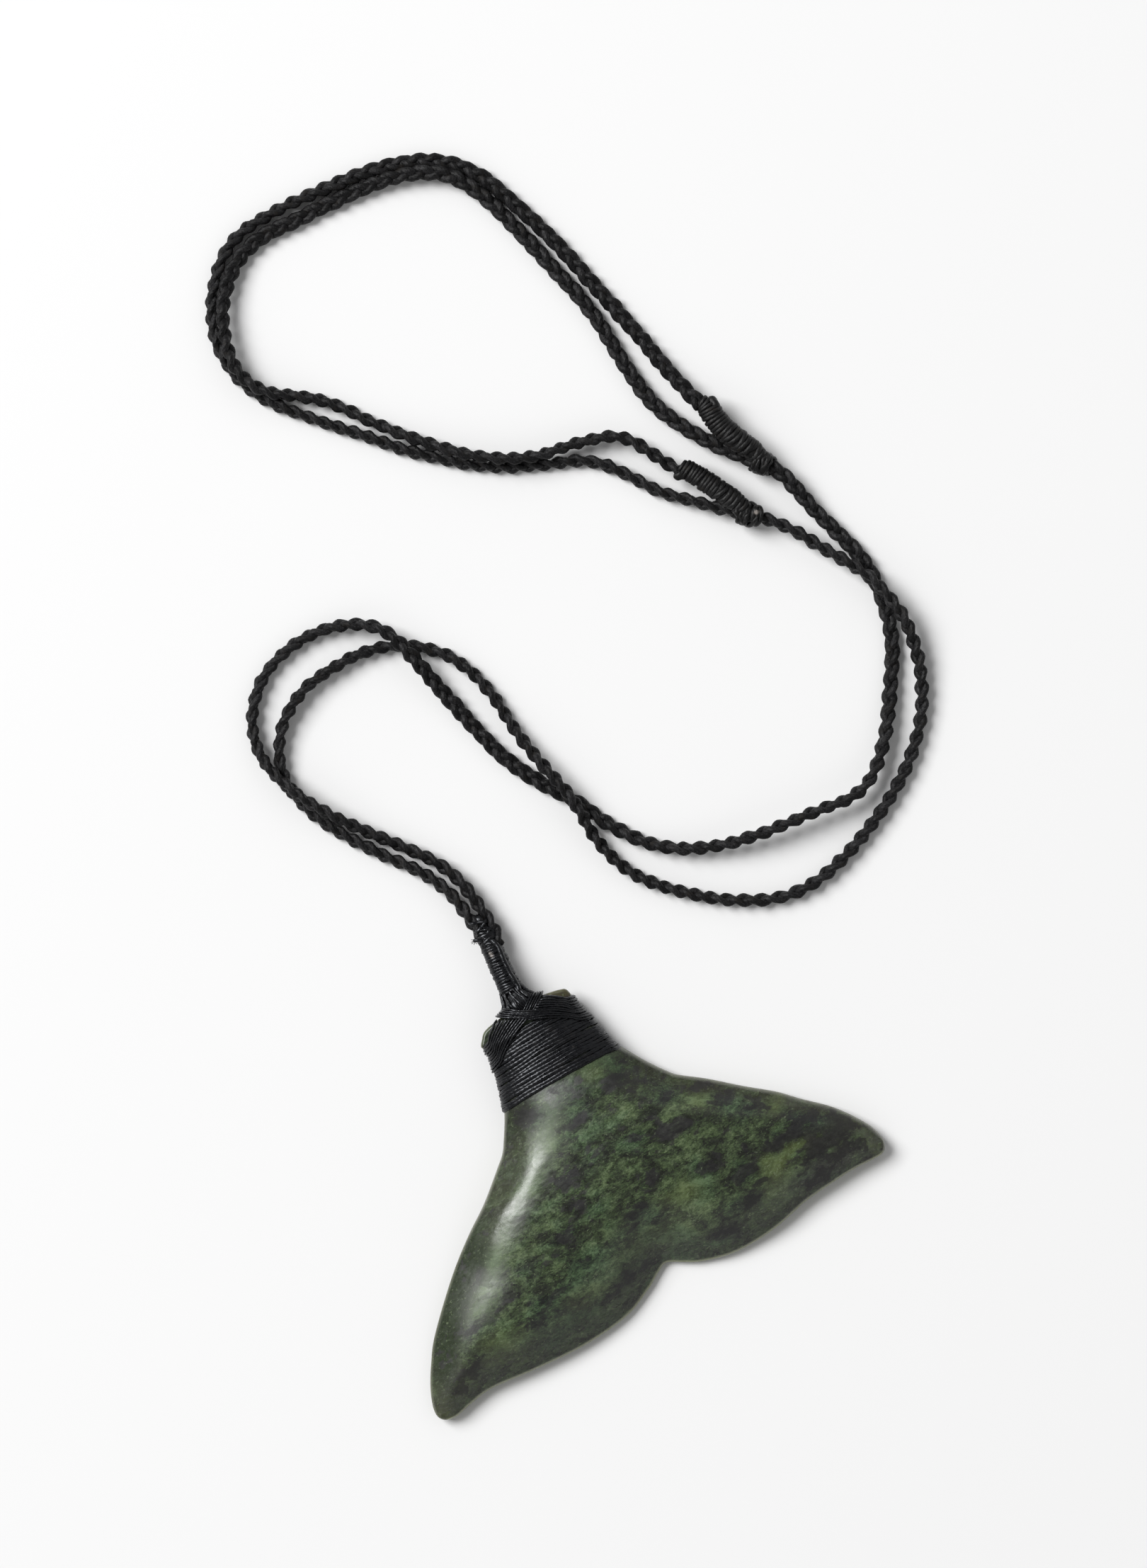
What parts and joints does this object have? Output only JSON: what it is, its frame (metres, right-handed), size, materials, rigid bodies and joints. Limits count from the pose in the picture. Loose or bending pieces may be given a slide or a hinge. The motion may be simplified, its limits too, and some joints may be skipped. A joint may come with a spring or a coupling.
{
  "type": "whale tail pendant necklace",
  "caption": "Carved greenstone whale tail pendant with a thread-lashed head, hung on an adjustable loop of dark plaited cord with whipped slide knots, laid flat.",
  "frame": {"origin": "on the stone's flat back, below the crown, on the line from the notch between the flukes to the head", "axes": "+Z out of the carved front face, +Y from the flukes to the lashed head and the cord, +X to the viewer's right across the flukes"},
  "size_m": [0.1158, 0.1611, 0.0074],
  "materials": {
    "greenstone": "polished",
    "waxed_thread": "satin",
    "plaited_cord": "satin"
  },
  "bodies": {
    "root": {"whale_tail": "greenstone", "tab_lashing": "waxed_thread", "root_knot": "waxed_thread", "stem_whipping": "waxed_thread", "cord_one": "plaited_cord", "cord_two": "plaited_cord", "slide_knot_upper": "waxed_thread", "slide_knot_lower": "waxed_thread"}
  },
  "joints": []
}
